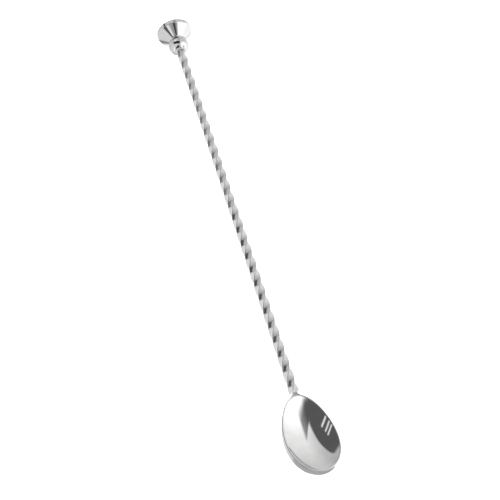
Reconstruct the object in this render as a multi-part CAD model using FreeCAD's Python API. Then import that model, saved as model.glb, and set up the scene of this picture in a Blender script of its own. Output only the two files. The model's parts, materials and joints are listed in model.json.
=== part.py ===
import FreeCAD, Part
import math
import os
from collections import namedtuple

# A bar spoon: a twisted square bar with a turned masher disc and ball at one end
# and a small forged bowl brazed to the other.  All sizes are in millimetres.
#
# The pieces are first built in the stem's own frame: the stem lies on the Y axis,
# the masher's flat face is at Y = 0, the bowl is at negative Y and opens towards +Z.
# The whole spoon is then laid on its back, so that the bowl's back and the disc's
# rim both touch the table at Z = 0, with the origin under the middle of its length.

Vector = FreeCAD.Vector

# ---- Whole spoon ----
TOTAL_LENGTH = 280.0        # along the stem, from the masher's face to the bowl's tip

# ---- Masher disc ----
DISC_RADIUS = 10.45
DISC_EDGE = 2.6             # height of the disc's cylindrical edge
DISC_ROUND = 0.35           # rounding of the disc's two outer corners
CONE_HEIGHT = 5.0           # from the cylindrical edge to the neck
NECK_CHAMFER = 0.2          # makes the fine groove where the cone meets the ball

# ---- Ball collar ----
BALL_RADIUS = 5.9
BALL_CENTRE = 11.6          # distance from the masher's face
SEAT_RADIUS = 2.85          # flat seat under the ball, where the bar's shoulder bears

# ---- Spigot: the bar's end is turned down, passes the ball and screws into the disc ----
SPIGOT_RADIUS = 1.5         # M3
SPIGOT_IN_DISC = 4.8        # thread engagement
THREAD_GAP = 0.03           # radial clearance in the tapped hole
PASSAGE_GAP = 0.10          # radial clearance through the ball
HOLE_SPARE_DEPTH = 0.6      # tapped hole runs deeper than the spigot
DRILL_POINT_ANGLE = 59.0    # half of the usual 118 degree drill point
SPIGOT_CHAMFER = 0.4

# ---- Twisted bar ----
BAR_FLATS = 4.1             # square bar, across its flats
BAR_CORNER_ROUND = 0.45
CORNER_ANGLE = 45.0         # from the middle of a flat to a corner
TWIST_PITCH = 32.8          # one full right-hand turn, so a corner comes round every 8.2
TWIST_PHASE_Y = -22.4       # where along the bar a corner stands at TWIST_PHASE_ANGLE
TWIST_PHASE_ANGLE = 16.2    # degrees from +X towards +Z

# ---- Bowl ----
BOWL_LENGTH = 42.35         # along the rim, from the bar to the tip
BOWL_HALF_WIDTH = 13.12
BOWL_EGG = 0.134            # how much wider the tip half is than the bar half
BOWL_KEEL = 0.53            # the deepest point, as a share of the length from the bar
BACK_DEPTH = 8.2            # from the rim to the lowest point of the back
BACK_FULLNESS = 5.4         # 2 gives elliptical walls, more gives steeper walls at the rim
DISH_DEPTH = 6.0            # from the rim to the lowest point of the hollow
DISH_FULLNESS = 1.0         # 1 gives a parabolic dish, which meets the lip at a slope
LIP_WIDTH = 0.85
LIP_HEIGHT = 0.35           # rounding of the polished lip
RIM_SAG = 1.57              # the rim dips this much at mid length, seen from the side
RIM_ABOVE_AXIS = 1.2        # height of the rim over the bar's axis where they meet
TIP_RAISE = 10.4            # degrees the rim climbs from the bar to the tip

# ---- Braze between the bar and the bowl ----
TENON_RADIUS = 1.5          # the bar's end is turned round where the braze grips it
TENON_LENGTH = 2.0
BRAZE_RADIUS = 2.7          # foot of the fillet on the bowl's wall
BRAZE_TOP = 0.4             # the fillet's top stands this far outside the tenon
BRAZE_HOLLOW = 0.5          # so does the middle of its hollow curve,
BRAZE_HOLLOW_RISE = 0.5     # at this height over the foot

# ---- Surface resolution ----
TWIST_STEP = 20.0           # degrees of twist between two sections of the bar
RING_POINTS = 40            # points round each ring of the bowl
WALL_RINGS = 16             # steps from the rim to the keel on each side of the wall
LIP_STEPS = 6               # steps round the lip
LAST_RING_SWEEP = 89.5      # degrees: the last ring is the tiny flat at the keel
ENVELOPE_RISE = 6.0         # how far the cutting body for the bar's end stands over the rim
SEWING_TOLERANCE = 1e-3
KEEL_STEPS = 200            # steps along each half of the keel when the spoon is laid down
MOST_TILT = 5.0             # degrees: the resting tilt is looked for between 0 and this
TILT_HALVINGS = 50

BOWL_JOINT_Y = -(TOTAL_LENGTH - BOWL_LENGTH * math.cos(math.radians(TIP_RAISE)))
NECK_Y = -(DISC_EDGE + CONE_HEIGHT)
NECK_RADIUS = math.sqrt(BALL_RADIUS**2 - (BALL_CENTRE + NECK_Y) ** 2)
SHOULDER_Y = -(BALL_CENTRE + math.sqrt(BALL_RADIUS**2 - SEAT_RADIUS**2))
TENON_Y = BOWL_JOINT_Y + TENON_LENGTH

# A wall of the bowl: its distance inside the rim's outer edge, its depth and its fullness.
Wall = namedtuple("Wall", "inset depth fullness")
BACK = Wall(0.0, BACK_DEPTH, BACK_FULLNESS)
DISH = Wall(LIP_WIDTH, DISH_DEPTH, DISH_FULLNESS)


def turned(profile):
    """Solid turned about the Y axis from a closed outline of (radius, y) points."""
    corners = [Vector(radius, y, 0) for radius, y in profile]
    face = Part.Face(Part.makePolygon(corners + corners[:1]))
    return face.revolve(Vector(0, 0, 0), Vector(0, 1, 0), 360)


def round_edges(solid, radius, edge_radius):
    """Rounds every circular edge of the given radius."""
    edges = [
        edge
        for edge in solid.Edges
        if isinstance(edge.Curve, Part.Circle) and abs(edge.Curve.Radius - edge_radius) < 1e-4
    ]
    return solid.makeFillet(radius, edges)


# ---- Finial: masher disc and ball ----


def masher_disc():
    """Flat-faced disc with a conical back, tapped blind from the neck."""
    hole = SPIGOT_RADIUS + THREAD_GAP
    hole_end = NECK_Y + SPIGOT_IN_DISC + HOLE_SPARE_DEPTH
    drill_point = hole / math.tan(math.radians(DRILL_POINT_ANGLE))
    disc = turned(
        [
            (0, 0),
            (DISC_RADIUS, 0),
            (DISC_RADIUS, -DISC_EDGE),
            (NECK_RADIUS, NECK_Y + NECK_CHAMFER),
            (NECK_RADIUS - NECK_CHAMFER, NECK_Y),
            (hole, NECK_Y),
            (hole, hole_end),
            (0, hole_end + drill_point),
        ]
    )
    return round_edges(disc, DISC_ROUND, DISC_RADIUS)


def ball_collar():
    """Ball with a flat at the neck, a flat seat for the bar and a hole right through."""
    ball = Part.makeSphere(BALL_RADIUS, Vector(0, -BALL_CENTRE, 0), Vector(0, 1, 0), -90, 90, 360)
    slice_between_flats = turned(
        [
            (0, NECK_Y),
            (NECK_RADIUS - NECK_CHAMFER, NECK_Y),
            (BALL_RADIUS, NECK_Y - BALL_RADIUS + NECK_RADIUS - NECK_CHAMFER),
            (BALL_RADIUS, SHOULDER_Y),
            (0, SHOULDER_Y),
        ]
    )
    passage = Part.makeCylinder(
        SPIGOT_RADIUS + PASSAGE_GAP, TOTAL_LENGTH, Vector(0, -TOTAL_LENGTH, 0), Vector(0, 1, 0)
    )
    return ball.common(slice_between_flats).cut(passage)


# ---- Bowl ----


def rim_dip(along, sag):
    """Height of the rim relative to its chord, at a distance along the chord."""
    return -sag * 4 * along * (BOWL_LENGTH - along) / BOWL_LENGTH**2


def to_bowl_place(across, along, height):
    """Moves a point of the level bowl to its place on the bar, with the tip raised."""
    raise_angle = math.radians(TIP_RAISE)
    y = -along * math.cos(raise_angle) + height * math.sin(raise_angle)
    z = along * math.sin(raise_angle) + height * math.cos(raise_angle)
    return Vector(across, BOWL_JOINT_Y + y, RIM_ABOVE_AXIS + z)


def rim_point(turn, inset):
    """Place on the rim, or on a line inside it: distance along from the bar, and across."""
    along = inset + (BOWL_LENGTH / 2 - inset) * (1 - math.cos(turn))
    across = (BOWL_HALF_WIDTH - inset) * math.sin(turn) * (1 - BOWL_EGG * math.cos(turn))
    return along, across


def reach_at(sweep, fullness):
    """How far out a wall still is, from 1 at the rim (sweep 0) to 0 at the keel (90 degrees)."""
    return math.sqrt(1 - math.sin(math.radians(sweep)) ** fullness)


def wall_point(turn, wall, sweep, sag=RIM_SAG):
    """Point of a wall of the bowl: turn goes round the rim and sweep goes down to the keel."""
    rim_along, rim_across = rim_point(turn, wall.inset)
    reach = reach_at(sweep, wall.fullness)
    keel_along = BOWL_KEEL * BOWL_LENGTH
    along = keel_along + reach * (rim_along - keel_along)
    dip_share = max(0.0, reach - reach_at(LAST_RING_SWEEP, wall.fullness)) ** 2
    height = dip_share * rim_dip(rim_along, sag) - math.sin(math.radians(sweep)) * wall.depth
    return to_bowl_place(reach * rim_across, along, height)


def ring_through(point_at_turn):
    """Closed smooth curve through the points that a function gives for the turns round the bowl."""
    curve = Part.BSplineCurve()
    curve.interpolate(
        Points=[point_at_turn(2 * math.pi * step / RING_POINTS) for step in range(RING_POINTS)],
        PeriodicFlag=True,
        Parameters=[step / RING_POINTS for step in range(RING_POINTS + 1)],
    )
    return Part.Wire(curve.toShape())


def lip_ring(inset, lift, sag=RIM_SAG):
    """Ring round the rim, at a distance inside its outer edge and a height over it."""

    def point(turn):
        along, across = rim_point(turn, inset)
        return to_bowl_place(across, along, full_dip * rim_dip(along, sag) + lift)

    full_dip = (1 - reach_at(LAST_RING_SWEEP, BACK_FULLNESS)) ** 2
    return ring_through(point)


def wall_rings(wall):
    """Rings from the rim down to the tiny flat at the keel."""
    sweeps = [LAST_RING_SWEEP * step / WALL_RINGS for step in range(WALL_RINGS + 1)]
    return [ring_through(lambda turn: wall_point(turn, wall, sweep)) for sweep in sweeps]


def smooth_surface(rings):
    """Smooth surface through a row of rings."""
    return Part.makeLoft(rings, False, False).Faces


def closed_solid(faces):
    """Solid inside a closed set of faces."""
    shell = Part.makeShell(faces)
    shell.sewShape(SEWING_TOLERANCE)
    return Part.makeSolid(shell)


def bowl():
    """Forged bowl: back, rounded lip and dish closed into one solid."""
    back = wall_rings(BACK)
    dish = wall_rings(DISH)
    lip = [back[0]]
    for step in range(1, LIP_STEPS):
        around = math.pi * step / LIP_STEPS
        lip.append(lip_ring(LIP_WIDTH * (1 - math.cos(around)) / 2, LIP_HEIGHT * math.sin(around)))
    lip.append(dish[0])
    walls = smooth_surface(back) + smooth_surface(lip) + smooth_surface(dish)
    return closed_solid(walls + [Part.Face(back[-1]), Part.Face(dish[-1])])


def bowl_envelope():
    """The bowl's back filled in and carried up over the rim: it cuts the bar's end."""
    back = wall_rings(BACK)
    top = lip_ring(0.0, ENVELOPE_RISE, sag=0.0)
    walls = smooth_surface(back) + Part.makeLoft([top, back[0]], False, True).Faces
    return closed_solid(walls + [Part.Face(top), Part.Face(back[-1])])


# ---- Bar and braze ----


def rounded_square(y):
    """Outline of the bar's cross-section at one station, turned by the twist so far."""
    twist = TWIST_PHASE_ANGLE - 360 * (y - TWIST_PHASE_Y) / TWIST_PITCH
    half = BAR_FLATS / 2
    straight = half - BAR_CORNER_ROUND
    corner_arc = BAR_CORNER_ROUND * math.sin(math.radians(CORNER_ANGLE))
    edges = []
    for quarter in range(4):
        spin = FreeCAD.Rotation(Vector(0, 1, 0), CORNER_ANGLE - twist - 90 * quarter)

        def at(x, z):
            return spin.multVec(Vector(x, 0, z)) + Vector(0, y, 0)

        edges.append(Part.makeLine(at(half, -straight), at(half, straight)))
        middle = at(straight + corner_arc, straight + corner_arc)
        edges.append(Part.Arc(at(half, straight), middle, at(straight, half)).toShape())
    return Part.Wire(edges)


def twisted_stem():
    """Twisted square bar with the turned spigot at one end and the coped tenon at the other."""
    bar_length = SHOULDER_Y - TENON_Y
    sections = math.ceil(360 * bar_length / TWIST_PITCH / TWIST_STEP)
    outlines = [rounded_square(TENON_Y + bar_length * step / sections) for step in range(sections + 1)]
    bar = Part.makeLoft(outlines, True, False)

    spigot_length = NECK_Y + SPIGOT_IN_DISC - SHOULDER_Y
    spigot = Part.makeCylinder(
        SPIGOT_RADIUS, spigot_length, Vector(0, SHOULDER_Y, 0), Vector(0, 1, 0)
    )
    tip_y = SHOULDER_Y + spigot_length
    tip_edges = [edge for edge in spigot.Edges if abs(edge.CenterOfMass.y - tip_y) < 1e-6]
    spigot = spigot.makeChamfer(SPIGOT_CHAMFER, tip_edges)
    tenon = Part.makeCylinder(
        TENON_RADIUS, 2 * TENON_LENGTH, Vector(0, TENON_Y - 2 * TENON_LENGTH, 0), Vector(0, 1, 0)
    )
    tenon = tenon.cut(bowl_envelope())
    return bar.fuse([spigot, tenon]).removeSplitter()


def stem_bowl_braze():
    """Hollow fillet of braze metal round the tenon, running out on the bowl's wall and
    ground flush with the lip."""
    start = Vector(TENON_RADIUS + BRAZE_TOP, TENON_Y, 0)
    foot = Vector(BRAZE_RADIUS, BOWL_JOINT_Y, 0)
    hollow = Vector(TENON_RADIUS + BRAZE_HOLLOW, BOWL_JOINT_Y + BRAZE_HOLLOW_RISE, 0)
    deep = BOWL_JOINT_Y - TENON_LENGTH
    outline = Part.Wire(
        [
            Part.Arc(start, hollow, foot).toShape(),
            Part.makeLine(foot, Vector(BRAZE_RADIUS, deep, 0)),
            Part.makeLine(Vector(BRAZE_RADIUS, deep, 0), Vector(TENON_RADIUS, deep, 0)),
            Part.makeLine(Vector(TENON_RADIUS, deep, 0), Vector(TENON_RADIUS, TENON_Y, 0)),
            Part.makeLine(Vector(TENON_RADIUS, TENON_Y, 0), start),
        ]
    )
    fillet = Part.Face(outline).revolve(Vector(0, 0, 0), Vector(0, 1, 0), 360)
    corner = Vector(-BRAZE_RADIUS, deep, RIM_ABOVE_AXIS + LIP_HEIGHT)
    ground_off = Part.makeBox(2 * BRAZE_RADIUS, 3 * TENON_LENGTH, BRAZE_RADIUS, corner)
    return fillet.cut(bowl_envelope()).cut(ground_off)


# ---- Laying the spoon on the table ----


def keel_line():
    """Points down the middle of the bowl's back, from the bar to the tip."""
    sweeps = [90 * step / KEEL_STEPS for step in range(KEEL_STEPS + 1)]
    return [wall_point(turn, BACK, sweep) for turn in (0.0, math.pi) for sweep in sweeps]


def resting_place():
    """Tilts the spoon until the bowl's back and the disc's rim touch the table."""
    keel = keel_line()
    disc_low = Vector(0, -DISC_EDGE / 2, -DISC_RADIUS)
    low_angle, high_angle = 0.0, MOST_TILT
    for _ in range(TILT_HALVINGS):
        angle = (low_angle + high_angle) / 2
        tilt = FreeCAD.Rotation(Vector(1, 0, 0), angle)
        bowl_height = min(tilt.multVec(point).z for point in keel)
        if tilt.multVec(disc_low).z > bowl_height:
            high_angle = angle
        else:
            low_angle = angle
    face_y = tilt.multVec(Vector(0, 0, -DISC_RADIUS)).y
    tip_y = min(tilt.multVec(point).y for point in keel)
    shift = Vector(0, -(face_y + tip_y) / 2, -bowl_height)
    return FreeCAD.Placement(shift, tilt)


def main():
    os.makedirs("parts", exist_ok=True)
    pieces = {
        "masher_disc": masher_disc(),
        "ball_collar": ball_collar(),
        "twisted_stem": twisted_stem(),
        "stem_bowl_braze": stem_bowl_braze(),
        "bowl": bowl(),
    }
    place = resting_place()
    for name, solid in pieces.items():
        solid = solid.transformed(place.toMatrix(), True)
        solid.exportStep(f"parts/{name}.step")
        box = solid.BoundBox
        print(f"{name}: valid {solid.isValid()}, solids {len(solid.Solids)}, "
              f"volume {solid.Volume:.1f} mm3, box x {box.XMin:.2f}..{box.XMax:.2f} "
              f"y {box.YMin:.2f}..{box.YMax:.2f} z {box.ZMin:.2f}..{box.ZMax:.2f}")


main()
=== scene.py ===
import json
import math
from collections import namedtuple

import bpy
from mathutils import Matrix, Vector
from mathutils.bvhtree import BVHTree


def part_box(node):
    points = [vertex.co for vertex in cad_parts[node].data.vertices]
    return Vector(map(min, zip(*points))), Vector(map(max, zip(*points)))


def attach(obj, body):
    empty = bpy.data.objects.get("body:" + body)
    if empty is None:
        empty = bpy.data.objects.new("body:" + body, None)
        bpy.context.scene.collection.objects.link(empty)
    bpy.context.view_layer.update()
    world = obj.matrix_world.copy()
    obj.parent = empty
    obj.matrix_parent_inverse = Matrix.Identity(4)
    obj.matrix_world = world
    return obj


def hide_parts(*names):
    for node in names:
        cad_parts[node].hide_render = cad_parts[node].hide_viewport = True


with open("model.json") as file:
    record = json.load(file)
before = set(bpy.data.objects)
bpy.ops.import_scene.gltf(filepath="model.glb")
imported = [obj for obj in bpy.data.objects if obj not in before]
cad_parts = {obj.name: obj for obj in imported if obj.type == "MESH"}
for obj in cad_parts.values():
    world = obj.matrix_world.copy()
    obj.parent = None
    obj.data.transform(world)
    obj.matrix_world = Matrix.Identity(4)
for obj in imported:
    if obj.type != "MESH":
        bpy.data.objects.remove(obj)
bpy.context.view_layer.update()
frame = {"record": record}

# A polished steel bar spoon lying on its back on a pale table.
#
# The shapes are built in the stem's own frame, in millimetres: the stem lies on the Y axis, the masher's
# flat face is at Y = 0 and the bowl is at negative Y and opens towards +Z.  The record's masher_face mount
# says where that frame stands in the row frame.

MM = 0.001

masher_low, masher_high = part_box("masher_disc")
face_mount = next(m for m in frame["record"]["mounts"] if m["name"] == "masher_face")
stem_y = Vector(face_mount["axis"]).normalized()
stem_x = Vector((1, 0, 0))
stem_z = stem_x.cross(stem_y)
STEM_TURN = Matrix((stem_x, stem_y, stem_z)).transposed()
STEM_PLACE = Matrix.Translation(face_mount["pos_m"]) @ STEM_TURN.to_4x4() @ Matrix.Scale(MM, 4)

# ---- Sizes, in millimetres, as the CAD model has them ----
TOTAL_LENGTH = 280.0
DISC_RADIUS = (masher_high.x - masher_low.x) / 2 / MM
DISC_EDGE = 2.6
DISC_ROUND = 0.35
CONE_HEIGHT = 5.0
NECK_CHAMFER = 0.2
BALL_RADIUS = 5.9
BALL_CENTRE = 11.6
SEAT_RADIUS = 2.85
SPIGOT_RADIUS = 1.5
SPIGOT_IN_DISC = 4.8
SPIGOT_CHAMFER = 0.4
THREAD_GAP = 0.03
PASSAGE_GAP = 0.10
HOLE_SPARE_DEPTH = 0.6
DRILL_POINT_ANGLE = 59.0
BAR_FLATS = 4.1
BAR_CORNER_ROUND = 0.45
TWIST_PITCH = 32.8
TWIST_PHASE_Y = -22.4
TWIST_PHASE_ANGLE = 16.2
BOWL_LENGTH = 42.35
BOWL_HALF_WIDTH = 13.12
BOWL_EGG = 0.134
BOWL_KEEL = 0.53
BACK_DEPTH = 8.2
BACK_FULLNESS = 5.4
DISH_DEPTH = 6.0
DISH_FULLNESS = 1.0
LIP_WIDTH = 0.85
LIP_HEIGHT = 0.35
RIM_SAG = 1.57
RIM_ABOVE_AXIS = 1.2
TIP_RAISE = 10.4
TENON_RADIUS = 1.5
TENON_LENGTH = 2.0
BRAZE_RADIUS = 2.7
BRAZE_TOP = 0.4
BRAZE_HOLLOW = 0.5
BRAZE_HOLLOW_RISE = 0.5

BOWL_JOINT_Y = -(TOTAL_LENGTH - BOWL_LENGTH * math.cos(math.radians(TIP_RAISE)))
NECK_Y = -(DISC_EDGE + CONE_HEIGHT)
NECK_RADIUS = math.sqrt(BALL_RADIUS**2 - (BALL_CENTRE + NECK_Y) ** 2)
SHOULDER_Y = -(BALL_CENTRE + math.sqrt(BALL_RADIUS**2 - SEAT_RADIUS**2))
TENON_Y = BOWL_JOINT_Y + TENON_LENGTH

# A wall of the bowl: its distance inside the rim's outer edge, its depth and its fullness.
Wall = namedtuple("Wall", "inset depth fullness")
BACK = Wall(0.0, BACK_DEPTH, BACK_FULLNESS)
DISH = Wall(LIP_WIDTH, DISH_DEPTH, DISH_FULLNESS)

AXIS_HOLE = 0.02  # radius of the fan that closes a turned shape on its axis
SHARP_ANGLE = math.radians(30)  # edges that turn more than this stay crisp
SUPPORT_MARGIN = 0.06  # distance of a supporting point from the end of its straight run
LONG_RUN = 6 * SUPPORT_MARGIN  # straight runs longer than this get supporting points


# ---- Mesh helpers ----


def skin(name, rings, node, material, cap=True):
    """Quad skin through a row of equal rings.  Its ends get a fan each, or are joined if cap is False."""
    count = len(rings[0])
    points = [point for ring in rings for point in ring]
    faces = []
    joins = len(rings) - 1 if cap else len(rings)
    for level in range(joins):
        this = level * count
        above = (level + 1) % len(rings) * count
        for step in range(count):
            after = (step + 1) % count
            faces.append((this + step, above + step, above + after, this + after))
    if cap:
        for level, flip in ((0, False), (len(rings) - 1, True)):
            middle = len(points)
            points.append(sum(rings[level], Vector()) / count)
            for step in range(count):
                corner, after = level * count + step, level * count + (step + 1) % count
                faces.append((middle, after, corner) if flip else (middle, corner, after))
    mesh = bpy.data.meshes.new(name)
    mesh.from_pydata([STEM_PLACE @ point for point in points], [], faces)
    mesh.shade_smooth()
    mesh.set_sharp_from_angle(angle=SHARP_ANGLE)
    mesh.materials.append(material)
    piece = bpy.data.objects.new(name, mesh)
    bpy.context.scene.collection.objects.link(piece)
    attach(piece, "root")
    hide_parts(node)
    return piece


def circle(radius, y, count):
    """Ring of points about the stem's axis."""
    turns = [2 * math.pi * step / count for step in range(count)]
    return [Vector((radius * math.cos(turn), y, radius * math.sin(turn))) for turn in turns]


def rounded(corners, steps=6):
    """(radius, y) outline with each corner (radius, y, rounding) replaced by a smooth arc."""
    outline = []
    for index, (radius, y, rounding) in enumerate(corners):
        here = Vector((radius, y))
        if not rounding:
            outline.append(here)
            continue
        before = Vector(corners[index - 1][:2]) - here
        after = Vector(corners[(index + 1) % len(corners)][:2]) - here
        half = before.angle(after) / 2
        reach = rounding / math.tan(half)
        centre = here + (before.normalized() + after.normalized()).normalized() * rounding / math.sin(half)
        first = here + before.normalized() * reach - centre
        last = here + after.normalized() * reach - centre
        sweep = first.angle_signed(last)
        for step in range(steps + 1):
            outline.append(centre + Matrix.Rotation(-sweep * step / steps, 2) @ first)
    return outline


def supported(outline):
    """The outline with an extra point close to each end of every long straight run, so that the shading of
    a rounded corner doesn't spread over the flat beside it."""
    result = [outline[0]]
    for start, end in zip(outline, outline[1:]):
        run = end - start
        if run.length > LONG_RUN:
            inset = run.normalized() * SUPPORT_MARGIN
            result += [start + inset, end - inset]
        result.append(end)
    return result


def lathe(outline, count=160):
    """Rings about the stem's axis through an outline of (radius, y) points."""
    return [circle(max(point.x, AXIS_HOLE), point.y, count) for point in supported(outline)]


# ---- Bowl ----

BOWL_STEPS = 192  # points round the bowl
WALL_LEVELS = 56  # steps from the rim to the keel
LAST_SWEEP = 89.7  # degrees, which leaves a small hole at the keel for the fan that closes it
LIP_STEPS = 12  # steps over the lip
BOWL_TURNS = [2 * math.pi * step / BOWL_STEPS for step in range(BOWL_STEPS)]


def rim_point(turn, inset, lift=0.0):
    """Place on the rim: distance along from the bar, across, and height over the rim's ends."""
    along = inset + (BOWL_LENGTH / 2 - inset) * (1 - math.cos(turn))
    across = (BOWL_HALF_WIDTH - inset) * math.sin(turn) * (1 - BOWL_EGG * math.cos(turn))
    dip = RIM_SAG * 4 * along * (BOWL_LENGTH - along) / BOWL_LENGTH**2
    return along, across, lift - dip


def bowl_place(along, across, height):
    """Moves a point of the level bowl to its place on the bar, with the tip raised."""
    raise_angle = math.radians(TIP_RAISE)
    y = -along * math.cos(raise_angle) + height * math.sin(raise_angle)
    z = along * math.sin(raise_angle) + height * math.cos(raise_angle)
    return Vector((across, BOWL_JOINT_Y + y, RIM_ABOVE_AXIS + z))


def wall_ring(wall, sweep):
    """Closed ring round one wall of the bowl: sweep goes from the rim (0) to the keel (90 degrees)."""
    drop = math.sin(math.radians(sweep))
    reach = math.sqrt(1 - drop**wall.fullness)
    keel_along = BOWL_KEEL * BOWL_LENGTH
    ring = []
    for turn in BOWL_TURNS:
        along, across, height = rim_point(turn, wall.inset)
        along = keel_along + reach * (along - keel_along)
        ring.append(bowl_place(along, reach * across, reach**2 * height - drop * wall.depth))
    return ring


def build_bowl(material):
    """Forged bowl with a rounded, polished lip."""
    sweeps = [LAST_SWEEP * step / WALL_LEVELS for step in range(WALL_LEVELS + 1)]
    rings = [wall_ring(BACK, sweep) for sweep in reversed(sweeps)]
    for step in range(1, LIP_STEPS):
        around = math.pi * step / LIP_STEPS
        inset = LIP_WIDTH * (1 - math.cos(around)) / 2
        lift = LIP_HEIGHT * math.sin(around)
        rings.append([bowl_place(*rim_point(turn, inset, lift)) for turn in BOWL_TURNS])
    rings += [wall_ring(DISH, sweep) for sweep in sweeps]
    return skin("spoon_bowl", rings, "bowl", material)


# ---- Twisted bar ----

STATION_LENGTH = 0.4  # longest step between two rings of the bar


def bar_outline(flat_steps=6, corner_steps=7):
    """Outline of the square bar with rounded corners, with its points closer together in the corners."""
    half = BAR_FLATS / 2
    straight = half - BAR_CORNER_ROUND
    quarter = [Vector((half, straight * (2 * step / flat_steps - 1))) for step in range(flat_steps)]
    corner = Vector((straight, straight))
    for step in range(corner_steps):
        angle = math.pi / 2 * step / corner_steps
        quarter.append(corner + BAR_CORNER_ROUND * Vector((math.cos(angle), math.sin(angle))))
    return [Matrix.Rotation(side * math.pi / 2, 2) @ point for side in range(4) for point in quarter]


def bar_ring(y):
    """Cross-section of the bar at one station, turned by the twist so far."""
    twist = math.radians(TWIST_PHASE_ANGLE - 45 - 360 * (y - TWIST_PHASE_Y) / TWIST_PITCH)
    spin = Matrix.Rotation(twist, 2)
    points = [spin @ point for point in BAR_OUTLINE]
    return [Vector((point.x, y, point.y)) for point in points]


BAR_OUTLINE = bar_outline()


def round_ring(radius, y, like):
    """Circle whose points stand at the same angles as those of another ring."""
    return [Vector((p.x, 0, p.z)).normalized() * radius + Vector((0, y, 0)) for p in like]


def wall_behind(tree, point):
    """Place on the bowl's back straight behind a point, or on the joint plane where that's over the rim."""
    start = STEM_PLACE @ Vector((point.x, TENON_Y + TENON_LENGTH, point.z))
    hit = tree.ray_cast(start, -stem_y)[0]
    if hit is None:
        return Vector((point.x, BOWL_JOINT_Y, point.z))
    return STEM_PLACE.inverted() @ hit


def build_stem(material, bowl_tree):
    """Bar with its spigot, its twisted length and its coped tenon as one closed skin."""
    spigot_end = NECK_Y + SPIGOT_IN_DISC
    run = TENON_Y - SHOULDER_Y
    stations = math.ceil(-run / STATION_LENGTH)
    twisted = [bar_ring(SHOULDER_Y + run * step / stations) for step in range(stations + 1)]
    top = twisted[0]
    rings = [
        round_ring(SPIGOT_RADIUS - SPIGOT_CHAMFER, spigot_end, top),
        round_ring(SPIGOT_RADIUS, spigot_end - SPIGOT_CHAMFER, top),
        round_ring(SPIGOT_RADIUS, SHOULDER_Y, top),
    ]
    rings += twisted
    tenon = round_ring(TENON_RADIUS, TENON_Y, twisted[-1])
    rings.append(tenon)
    rings.append([wall_behind(bowl_tree, point) for point in tenon])
    return skin("stem_bar", rings, "twisted_stem", material)


def build_braze(material, bowl_tree):
    """Hollow fillet of braze round the tenon, running out on the bowl's back."""
    count, steps = 96, 12
    lip_top = RIM_ABOVE_AXIS + LIP_HEIGHT
    start = Vector((TENON_RADIUS + BRAZE_TOP, TENON_Y))
    foot = Vector((BRAZE_RADIUS, BOWL_JOINT_Y))
    hollow = Vector((TENON_RADIUS + BRAZE_HOLLOW, BOWL_JOINT_Y + BRAZE_HOLLOW_RISE))
    bend = 2 * hollow - (start + foot) / 2
    rings = [circle(TENON_RADIUS, TENON_Y, count)]
    for step in range(steps + 1):
        share = step / steps
        point = (1 - share) ** 2 * start + 2 * share * (1 - share) * bend + share**2 * foot
        rings.append(circle(point.x, point.y, count))
    for ring in rings:
        for point in ring:
            point.z = min(point.z, lip_top)
    wall = [wall_behind(bowl_tree, point) for point in rings[-1]]
    for step, point in enumerate(rings[-1]):
        point.y = wall[step].y
    rings.append([wall_behind(bowl_tree, point) for point in rings[0]])
    return skin("braze_fillet", rings, "stem_bowl_braze", material, cap=False)


# ---- Finial ----

NECK_CREASE_ROUND = 0.1
NECK_EDGE_ROUND = 0.05
BALL_STEPS = 60


def build_disc(material):
    """Masher disc: flat face, short edge, conical back and the tapped hole."""
    hole = SPIGOT_RADIUS + THREAD_GAP
    hole_end = NECK_Y + SPIGOT_IN_DISC + HOLE_SPARE_DEPTH
    drill_point = hole / math.tan(math.radians(DRILL_POINT_ANGLE))
    corners = [
        (0, 0, 0),
        (DISC_RADIUS, 0, DISC_ROUND),
        (DISC_RADIUS, -DISC_EDGE, DISC_ROUND),
        (NECK_RADIUS, NECK_Y + NECK_CHAMFER, NECK_CREASE_ROUND),
        (NECK_RADIUS - NECK_CHAMFER, NECK_Y, NECK_EDGE_ROUND),
        (hole, NECK_Y, 0),
        (hole, hole_end, 0),
        (0, hole_end + drill_point, 0),
    ]
    return skin("masher", lathe(rounded(corners)), "masher_disc", material)


def build_ball(material):
    """Ball with its two flats and the hole through it."""
    hole = SPIGOT_RADIUS + PASSAGE_GAP
    neck = math.acos((BALL_CENTRE + NECK_Y + NECK_CHAMFER / 2) / BALL_RADIUS)
    seat = math.acos((BALL_CENTRE + SHOULDER_Y) / BALL_RADIUS)
    outline = [Vector((hole, NECK_Y)), Vector((NECK_RADIUS - NECK_CHAMFER, NECK_Y))]
    for step in range(BALL_STEPS + 1):
        angle = neck + (seat - neck) * step / BALL_STEPS
        outline.append(Vector((BALL_RADIUS * math.sin(angle), BALL_RADIUS * math.cos(angle) - BALL_CENTRE)))
    outline.append(Vector((hole, SHOULDER_Y)))
    return skin("ball", lathe(outline, 128), "ball_collar", material, cap=False)


# ---- Node helpers ----


def add_node(tree, kind, inputs=(), **settings):
    """New node with its settings, and with each input given as (name or number, value or socket)."""
    node = tree.nodes.new(kind)
    for setting, value in settings.items():
        setattr(node, setting, value)
    for slot, value in inputs:
        if isinstance(value, bpy.types.NodeSocket):
            tree.links.new(value, node.inputs[slot])
        else:
            node.inputs[slot].default_value = value
    return node


def maths(tree, operation, *values):
    """Result of one arithmetic operation on numbers or sockets."""
    return add_node(tree, "ShaderNodeMath", enumerate(values), operation=operation).outputs[0]


def ramp(tree, value, start, end, low=0.0, high=1.0, curve="SMOOTHSTEP"):
    """Goes from low to high while value goes from start to end."""
    inputs = [("Value", value), ("From Min", start), ("From Max", end), ("To Min", low), ("To Max", high)]
    return add_node(tree, "ShaderNodeMapRange", inputs, interpolation_type=curve).outputs["Result"]


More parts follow.
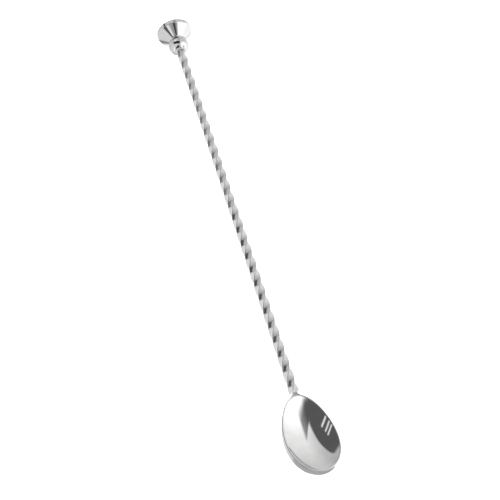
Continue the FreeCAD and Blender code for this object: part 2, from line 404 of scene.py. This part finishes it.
def noise(tree, place, scale, detail=3.0, dimensions="3D"):
    """Noise from 0 to 1 over a place in millimetres."""
    inputs = [("W" if dimensions == "1D" else "Vector", place), ("Scale", scale), ("Detail", detail)]
    return add_node(tree, "ShaderNodeTexNoise", inputs, noise_dimensions=dimensions).outputs[0]


def stretched(tree, place, scale, turn=(0, 0, 0)):
    """The place turned, then scaled along each axis."""
    inputs = [("Vector", place), ("Rotation", turn), ("Scale", scale)]
    return add_node(tree, "ShaderNodeMapping", inputs).outputs["Vector"]


# ---- Materials ----

STEEL_SHINE = 0.62  # share of light that polished stainless steel sends back
WHITE_STEEL = (1.0, 1.0, 0.995)  # tints are multiples of STEEL_SHINE
SILVER_BRAZE = (1.35, 1.34, 1.31)  # silver braze sends back more light than steel
PAINTED_SHADE_REACH = 0.5  # width of a gap that still gets some painted shade, in millimetres

# Scales of the noises, per millimetre, and the values of noise between which each effect comes up.
HAZE_SCALE = 0.22
HAZE_RANGE = (0.35, 0.7)
SMUDGE_SCALE = 0.07
SMUDGE_RANGE = (0.52, 0.68)
LINE_RANGE = (0.55, 0.75)
# Roughness, as multiples of the material's own.
CLEAR_DULLNESS = 0.75
HAZY_DULLNESS = 1.35
SMUDGE_DULLNESS = 0.4
LINE_DULLNESS = 0.5
WORN_DULLNESS = 0.6
WORN_WIDTH = 0.25  # over which the worn corners start, in millimetres
WORN_OUTSIDE_FLATS = 0.35  # how far outside the bar's flats its corners are fully worn
# Painted shade in the crevices: the shares of open sky between which it fades out, and the share of the
# colour that it leaves.
PAINTED_SHADE_RANGE = (0.15, 0.6)
DARKEST_PAINTED_SHADE = 0.6
TONE_RANGE = (0.2, 0.8)
TONES = (0.96, 1.03)  # slow change of the metal's tone with its haze


def stem_place(tree):
    """Place of the shaded point in the stem's own frame, in millimetres."""
    seen = add_node(tree, "ShaderNodeTexCoord").outputs["Object"]
    back = STEM_PLACE.inverted()
    inputs = [("Vector", seen), ("Location", back.translation), ("Rotation", back.to_euler())]
    return add_node(tree, "ShaderNodeMapping", inputs + [("Scale", back.to_scale())]).outputs["Vector"]


def axis_place(tree, place):
    """Distance from the stem's axis, and place along it."""
    split = add_node(tree, "ShaderNodeSeparateXYZ", [(0, place)])
    flat = add_node(tree, "ShaderNodeVectorMath", [(0, place), (1, (1, 0, 1))], operation="MULTIPLY")
    length = add_node(tree, "ShaderNodeVectorMath", [(0, flat.outputs[0])], operation="LENGTH")
    return length.outputs["Value"], split.outputs["Y"]


def lathe_lines(tree, place):
    """Fine rings left by turning."""
    out, along = axis_place(tree, place)
    return noise(tree, maths(tree, "ADD", out, along), scale=14.0, detail=6.0, dimensions="1D")


def drawn_lines(tree, place):
    """Fine lines along the bar, which turn with its twist."""
    along = axis_place(tree, place)[1]
    twist = maths(tree, "MULTIPLY", along, 2 * math.pi / TWIST_PITCH)
    inputs = [("Vector", place), ("Angle", twist)]
    bar_frame = add_node(tree, "ShaderNodeVectorRotate", inputs, rotation_type="Y_AXIS").outputs[0]
    return noise(tree, stretched(tree, bar_frame, scale=(6.0, 0.12, 6.0)), scale=1.0, detail=5.0)


def wipe_marks(tree, place):
    """Hairlines in two directions, left by wiping a polished bowl dry."""
    lengthwise = stretched(tree, place, scale=(5.0, 0.35, 1.0), turn=(0, 0, 0.5))
    crosswise = stretched(tree, place, scale=(0.4, 4.0, 1.0), turn=(0, 0, 0.2))
    first = noise(tree, lengthwise, scale=1.0, detail=5.0)
    second = noise(tree, crosswise, scale=1.0, detail=5.0)
    return maths(tree, "MAXIMUM", first, second)


def cast_lumps(tree, place):
    """The soft unevenness of braze metal that was melted and rubbed smooth."""
    return noise(tree, place, scale=1.6, detail=3.0)


def steel(name, tint, roughness, lines, line_depth, worn_radius=None):
    """Polished metal: haze and smudges in its roughness, its own kind of fine lines as relief, painted
    shade that darkens its colour in crevices, and brighter polish outside worn_radius, where hands and
    glasses rub it."""
    material = bpy.data.materials.new(name)
    material.use_nodes = True
    tree = material.node_tree
    surface = tree.nodes["Principled BSDF"]
    place = stem_place(tree)
    haze = noise(tree, place, HAZE_SCALE, detail=4.0)
    smudge = ramp(tree, noise(tree, place, SMUDGE_SCALE, detail=2.0), *SMUDGE_RANGE)
    relief = lines(tree, place)
    dull = ramp(tree, haze, *HAZE_RANGE, CLEAR_DULLNESS * roughness, HAZY_DULLNESS * roughness)
    dull = maths(tree, "ADD", dull, maths(tree, "MULTIPLY", smudge, SMUDGE_DULLNESS * roughness))
    dull = maths(tree, "ADD", dull, ramp(tree, relief, *LINE_RANGE, 0.0, LINE_DULLNESS * roughness))
    if worn_radius:
        out = axis_place(tree, place)[0]
        worn = ramp(tree, out, worn_radius - WORN_WIDTH, worn_radius, 1.0, WORN_DULLNESS)
        dull = maths(tree, "MULTIPLY", dull, worn)
    # Painted shade: the colour is darkened in crevices and joints by how little open sky the ambient
    # occlusion finds there.
    inputs = [("Distance", PAINTED_SHADE_REACH * MM)]
    open_sky = add_node(tree, "ShaderNodeAmbientOcclusion", inputs, samples=4).outputs["AO"]
    painted_crevice_shade = ramp(tree, open_sky, *PAINTED_SHADE_RANGE, DARKEST_PAINTED_SHADE, 1.0)
    shade = maths(tree, "MULTIPLY", painted_crevice_shade, ramp(tree, haze, *TONE_RANGE, *TONES))
    colour = [STEEL_SHINE * part for part in tint]
    inputs = [(0, colour), ("Scale", shade)]
    toned = add_node(tree, "ShaderNodeVectorMath", inputs, operation="SCALE").outputs[0]
    inputs = [("Height", relief), ("Distance", line_depth * MM), ("Strength", 1.0)]
    bump = add_node(tree, "ShaderNodeBump", inputs).outputs["Normal"]
    surface.inputs["Metallic"].default_value = 1.0
    for slot, socket in (("Base Color", toned), ("Roughness", dull), ("Normal", bump)):
        tree.links.new(socket, surface.inputs[slot])
    return material


# ---- Stage: floor, light and camera ----

VIEW_AZIMUTH = -29.65
VIEW_ELEVATION = 59.19
VIEW_ROLL = 15.04
VIEW_DISTANCE = 528.7
VIEW_TARGET = Vector((1.68, -154.42, -0.04))
LENS = 72.0
SENSOR_WIDTH = 36.0

FLOOR_WHITE = (0.9, 0.9, 0.9, 1)
FLOOR_REACH = 6.0  # metres from the middle of the floor to its sides


def build_camera():
    """Camera that was fitted to the photo, with its angles and its target in the stem's frame."""
    azimuth, elevation = math.radians(VIEW_AZIMUTH), math.radians(VIEW_ELEVATION)
    back = Vector(
        (
            math.sin(azimuth) * math.cos(elevation),
            -math.cos(azimuth) * math.cos(elevation),
            math.sin(elevation),
        )
    )
    right = Vector((0, 0, 1)).cross(back).normalized()
    up = back.cross(right)
    turn = Matrix((right, up, back)).transposed() @ Matrix.Rotation(math.radians(VIEW_ROLL), 3, "Z")
    camera_data = bpy.data.cameras.new("camera")
    camera_data.lens = LENS
    camera_data.sensor_width = SENSOR_WIDTH
    camera_data.clip_start = 0.01
    camera = bpy.data.objects.new("camera", camera_data)
    bpy.context.scene.collection.objects.link(camera)
    place = STEM_PLACE @ (VIEW_TARGET + VIEW_DISTANCE * back)
    camera.matrix_world = Matrix.Translation(place) @ (STEM_TURN @ turn).to_4x4()
    bpy.context.scene.camera = camera


def build_floor():
    """Matt white table top, which the steel doesn't reflect."""
    material = bpy.data.materials.new("floor")
    material.use_nodes = True
    surface = material.node_tree.nodes["Principled BSDF"]
    surface.inputs["Base Color"].default_value = FLOOR_WHITE
    surface.inputs["Roughness"].default_value = 0.9
    surface.inputs["Specular IOR Level"].default_value = 0.0
    mesh = bpy.data.meshes.new("floor")
    far = FLOOR_REACH
    corners = [(-far, -far, 0), (far, -far, 0), (far, far, 0), (-far, far, 0)]
    mesh.from_pydata(corners, [], [(0, 1, 2, 3)])
    mesh.materials.append(material)
    floor = bpy.data.objects.new("floor", mesh)
    floor.visible_glossy = False
    bpy.context.scene.collection.objects.link(floor)


# The light that the steel reflects is laid out on a plan of the sky: its middle is straight up, its edge at
# distance 1 is the horizon, and its axes are those of the row frame.  The camera is on the -Y side.
FLOOR_LIGHT = 3.0  # light that everything but the steel gets
FAR = 9.0  # distance on the plan that is 13 degrees from straight down
DEEP = 99.0  # distance on the plan that is 1 degree from straight down
LOWEST_SPREAD = 0.01  # keeps the plan finite straight down

Card = namedtuple("Card", "corners softness light")


def strip_card(middle, turn, half_length, half_width, softness, light):
    """Oblong card, turned by an angle in degrees from the plan's first axis."""
    long = Vector((math.cos(math.radians(turn)), math.sin(math.radians(turn))))
    wide = Vector((-long.y, long.x))
    signs = ((-1, -1), (1, -1), (1, 1), (-1, 1))
    corners = [Vector(middle) + a * half_length * long + b * half_width * wide for a, b in signs]
    return Card(corners, [softness] * 4, light)


ROOM_CARDS = [
    # Pale room low on the left and behind the camera, which goes on below the horizon.
    Card([(-FAR, -FAR), (-0.34, -FAR), (-0.34, -0.16), (-0.56, 0.5), (-FAR, FAR)], [0.1] * 5, 0.36),
    Card([(-FAR, -FAR), (FAR, -FAR), (FAR, -1.2), (-0.34, -0.22), (-FAR, -0.22)], [0.1] * 5, 0.36),
    # Lighter wall ahead on the left.
    Card([(-FAR, 0.7), (-0.8, 0.7), (-0.8, FAR), (-FAR, FAR)], [0.5] * 4, 0.58),
    # Dark canopy and its grey lower edge, which fades to the right.
    Card(
        [(-0.30, -0.16), (-0.02, -0.12), (0.225, 0.01), (0.235, 0.305), (-0.30, -0.14)],
        [0.14, 0.16, 0.10, 0.03, 0.05],
        0.26,
    ),
    Card(
        [(-0.30, -0.15), (-0.02, -0.11), (0.08, -0.05), (0.08, 0.175), (-0.30, -0.14)],
        [0.14, 0.16, 0.28, 0.03, 0.05],
        0.10,
    ),
    Card(
        [
            (-0.60, -0.15),
            (-0.03, -0.12),
            (-0.01, 0.10),
            (-0.07, 0.47),
            (-0.145, 0.69),
            (-0.20, 0.73),
            (-0.60, 0.50),
        ],
        [0.12, 0.14, 0.06, 0.06, 0.06, 0.08, 0.15],
        0.088,
    ),
    # Three strip lights in front of the canopy.
    strip_card((-0.391, 0.279), 32, 0.090, 0.012, 0.02, 0.75),
    strip_card((-0.374, 0.220), 30, 0.088, 0.012, 0.02, 0.75),
    strip_card((-0.341, 0.148), 26, 0.086, 0.012, 0.02, 0.80),
]

FINIAL_CARDS = [
    # Pale cloth on the left with a bright patch, a darker one under it, and a bright one far on the right.
    Card([(-FAR, -FAR), (-0.24, -FAR), (-0.24, -0.08), (-0.75, 0.25), (-FAR, 3.0)], [0.1] * 5, 0.62),
    strip_card((-1.15, -0.62), 35, 0.45, 0.12, 0.12, 1.0),
    Card([(-DEEP, -DEEP), (-4.6, -DEEP), (-4.6, DEEP), (-DEEP, DEEP)], [3.0] * 4, 0.24),
    Card([(0.8, 0.0), (DEEP, 0.0), (DEEP, DEEP), (0.8, DEEP)], [0.2] * 4, 0.74),
    # Grey cloth behind the camera, and the white opening to the right of it, which dims further right.
    Card([(-0.27, -FAR), (0.30, -FAR), (0.30, -0.58), (-0.20, -0.62)], [0.1, 0.05, 0.1, 0.1], 0.28),
    Card(
        [(2.1, -FAR), (DEEP, -FAR), (DEEP, 0.05), (0.40, 0.05), (0.10, -0.15)],
        [0.1, 0.1, 0.1, 0.1, 0.05],
        1.05,
    ),
    Card([(0.9, -FAR), (DEEP, -FAR), (DEEP, 0.05), (0.9, 0.05)], [0.3] * 4, 0.90),
    # Black pole behind the camera, and two black bars over the left side.
    Card([(-0.04, -FAR), (0.12, -FAR), (0.10, -0.60), (-0.03, -0.60)], [0.08] * 4, 0.02),
    strip_card((-0.27, 0.05), -16, 0.34, 0.14, 0.08, 0.02),
    strip_card((-0.38, -0.55), 28, 0.33, 0.14, 0.08, 0.02),
    # Bright gap and a dark pole behind the camera on the left, at the horizon.
    strip_card((-0.345, -0.95), 90, 0.26, 0.05, 0.06, 0.90),
    strip_card((-0.50, -0.95), 90, 0.23, 0.08, 0.06, 0.09),
    # Small dark card and the lamp ahead, a dark card behind on the right and a grey strip ahead.
    strip_card((-0.53, 0.46), 0, 0.06, 0.05, 0.05, 0.05),
    strip_card((-0.27, 0.29), 0, 0.08, 0.05, 0.06, 1.0),
    strip_card((0.51, -0.46), 0, 0.11, 0.08, 0.05, 0.12),
    strip_card((0.06, 0.37), 75, 0.18, 0.06, 0.10, 0.28),
]


def stem_cards(darkest):
    """Cards round the bar: pale at both sides, with a dark one over its left and a grey one beside that."""
    return [
        Card([(-FAR, -FAR), (-0.70, -FAR), (-0.70, FAR), (-FAR, FAR)], [0.35] * 4, 0.68),
        Card([(0.45, -FAR), (FAR, -FAR), (FAR, FAR), (0.45, FAR)], [0.5] * 4, 0.66),
        strip_card((0.05, 0.15), 90, 0.30, 0.08, 0.15, 0.34),
        strip_card((-0.52, 0.27), 100, 0.15, 0.06, 0.10, 0.22),
        strip_card((-0.30, 0.09), 0, 0.30, 0.16, 0.14, darkest),
    ]


# Small tents with layouts of their own, which only the steel inside them reflects: where each starts and
# ends along the stem, its half width, its light and its cards.
Tent = namedtuple("Tent", "name start end half_width light cards")

FINIAL_TENT = 60.0  # half width
FINIAL_TENT_MIDDLE_Y = -15.0
FINIAL_TENT_LIGHT = 0.52
BAR_TENT = 4.0  # half width
BAR_TENT_GAP = 1.0  # keeps the bar's tent clear of the ball
BAR_TENT_LIGHT = 0.46
BAR_MIDDLE_Y = (SHOULDER_Y + TENON_Y) / 2
UPPER_BAR_DARKEST = 0.17
LOWER_BAR_DARKEST = 0.07

finial_start = FINIAL_TENT_MIDDLE_Y + FINIAL_TENT
finial_end = FINIAL_TENT_MIDDLE_Y - FINIAL_TENT
bar_start = SHOULDER_Y - BAR_TENT_GAP
upper_cards = stem_cards(UPPER_BAR_DARKEST)
lower_cards = stem_cards(LOWER_BAR_DARKEST)
TENTS = [
    Tent("tent_finial", finial_start, finial_end, FINIAL_TENT, FINIAL_TENT_LIGHT, FINIAL_CARDS),
    Tent("tent_upper_bar", bar_start, BAR_MIDDLE_Y, BAR_TENT, BAR_TENT_LIGHT, upper_cards),
    Tent("tent_lower_bar", BAR_MIDDLE_Y, TENON_Y, BAR_TENT, BAR_TENT_LIGHT, lower_cards),
]


def card_mask(tree, plan, corners, softness):
    """1 inside a convex card with corners in anticlockwise order, with a soft edge on each side."""
    mask = 1.0
    for start, end, soft in zip(corners, corners[1:] + corners[:1], softness):
        heading = (Vector(end) - Vector(start)).normalized()
        inward = Vector((-heading.y, heading.x))
        inputs = [(0, plan), (1, (inward.x, inward.y, 0))]
        depth = add_node(tree, "ShaderNodeVectorMath", inputs, operation="DOT_PRODUCT").outputs["Value"]
        middle = inward.dot(Vector(start))
        mask = maths(tree, "MULTIPLY", mask, ramp(tree, depth, middle - soft / 2, middle + soft / 2))
    return mask


def sky_plan(tree, heading):
    """Where a direction stands on the plan of the sky."""
    split = add_node(tree, "ShaderNodeSeparateXYZ", [(0, heading)])
    spread = maths(tree, "MAXIMUM", maths(tree, "ADD", split.outputs["Z"], 1.0), LOWEST_SPREAD)
    inputs = [(0, heading), ("Scale", maths(tree, "DIVIDE", 1.0, spread))]
    return add_node(tree, "ShaderNodeVectorMath", inputs, operation="SCALE").outputs[0]


def lay_cards(tree, plan, light, cards):
    """Strength of the light over the plan, with the cards laid over it."""
    for card in cards:
        mask = card_mask(tree, plan, card.corners, card.softness)
        light = add_node(tree, "ShaderNodeMix", [(0, mask), (2, light), (3, card.light)]).outputs[0]
    return maths(tree, "DIVIDE", light, STEEL_SHINE)


def build_light():
    """Soft white light all round, seen by the floor, and the layout of lights and dark cards that the steel
    reflects."""
    world = bpy.data.worlds.new("studio")
    world.use_nodes = True
    world.cycles.sampling_method = "NONE"
    bpy.context.scene.world = world
    tree = world.node_tree
    heading = add_node(tree, "ShaderNodeTexCoord").outputs["Generated"]
    plan = sky_plan(tree, heading)
    place = add_node(tree, "ShaderNodeSeparateXYZ", [(0, plan)])
    across, along = place.outputs["X"], place.outputs["Y"]
    ahead = ramp(tree, along, 0.9, 0.3, low=0.56, high=0.80, curve="LINEAR")
    overhead = ramp(tree, along, 0.3, 0.0, high=0.3)
    rightward = ramp(tree, across, -0.15, 0.35, low=0.70)
    behind = ramp(tree, along, 0.0, -0.15, high=0.35)
    light = maths(tree, "ADD", ahead, overhead)
    light = maths(tree, "MULTIPLY", light, rightward)
    light = maths(tree, "ADD", light, behind)
    seen = lay_cards(tree, plan, light, ROOM_CARDS)
    rays = add_node(tree, "ShaderNodeLightPath")
    glossy = rays.outputs["Is Glossy Ray"]
    strength = add_node(tree, "ShaderNodeMix", [(0, glossy), (2, FLOOR_LIGHT), (3, seen)]).outputs[0]
    tree.links.new(strength, tree.nodes["Background"].inputs["Strength"])
    tree.nodes["Background"].inputs["Color"].default_value = (1, 1, 1, 1)


def build_tent(tent):
    """Box round a stretch of the spoon that lights only the steel inside it: it's clear from outside and to
    long rays."""
    material = bpy.data.materials.new(tent.name)
    material.use_nodes = True
    material.cycles.emission_sampling = "NONE"
    tree = material.node_tree
    tree.nodes.clear()
    geometry = add_node(tree, "ShaderNodeNewGeometry")
    inputs = [(0, geometry.outputs["Incoming"]), ("Scale", -1.0)]
    heading = add_node(tree, "ShaderNodeVectorMath", inputs, operation="SCALE").outputs[0]
    seen = lay_cards(tree, sky_plan(tree, heading), tent.light, tent.cards)
    glow = add_node(tree, "ShaderNodeEmission", [("Strength", seen)]).outputs[0]
    clear = add_node(tree, "ShaderNodeBsdfTransparent").outputs[0]
    length = add_node(tree, "ShaderNodeLightPath").outputs["Ray Length"]
    far = maths(tree, "GREATER_THAN", length, 2 * tent.half_width * MM)
    see_through = maths(tree, "MAXIMUM", geometry.outputs["Backfacing"], far)
    mixed = add_node(tree, "ShaderNodeMixShader", [(0, see_through), (1, glow), (2, clear)]).outputs[0]
    add_node(tree, "ShaderNodeOutputMaterial", [("Surface", mixed)])

    sides = (-tent.half_width, tent.half_width)
    corners = [Vector((x, y, z)) for x in sides for y in (tent.end, tent.start) for z in sides]
    inward_faces = [(0, 2, 3, 1), (4, 5, 7, 6), (0, 1, 5, 4), (2, 6, 7, 3), (0, 4, 6, 2), (1, 3, 7, 5)]
    mesh = bpy.data.meshes.new(tent.name)
    mesh.from_pydata([STEM_PLACE @ corner for corner in corners], [], inward_faces)
    mesh.materials.append(material)
    box = bpy.data.objects.new(tent.name, mesh)
    box.visible_camera = False
    box.visible_diffuse = False
    box.visible_shadow = False
    bpy.context.scene.collection.objects.link(box)


# ---- The whole scene ----

bowl_material = steel("bowl_steel", WHITE_STEEL, roughness=0.045, lines=wipe_marks, line_depth=0.0004)
stem_material = steel(
    "stem_steel",
    WHITE_STEEL,
    roughness=0.11,
    lines=drawn_lines,
    line_depth=0.002,
    worn_radius=BAR_FLATS / 2 + WORN_OUTSIDE_FLATS,
)
turned_material = steel("turned_steel", WHITE_STEEL, roughness=0.06, lines=lathe_lines, line_depth=0.0006)
braze_material = steel("braze_silver", SILVER_BRAZE, roughness=0.14, lines=cast_lumps, line_depth=0.02)

bowl_piece = build_bowl(bowl_material)
bpy.context.view_layer.update()
bowl_tree = BVHTree.FromObject(bowl_piece, bpy.context.evaluated_depsgraph_get())
build_stem(stem_material, bowl_tree)
build_braze(braze_material, bowl_tree)
build_disc(turned_material)
build_ball(turned_material)
build_floor()
build_light()
for tent in TENTS:
    build_tent(tent)
build_camera()

scene = bpy.context.scene
scene.view_settings.view_transform = "Standard"
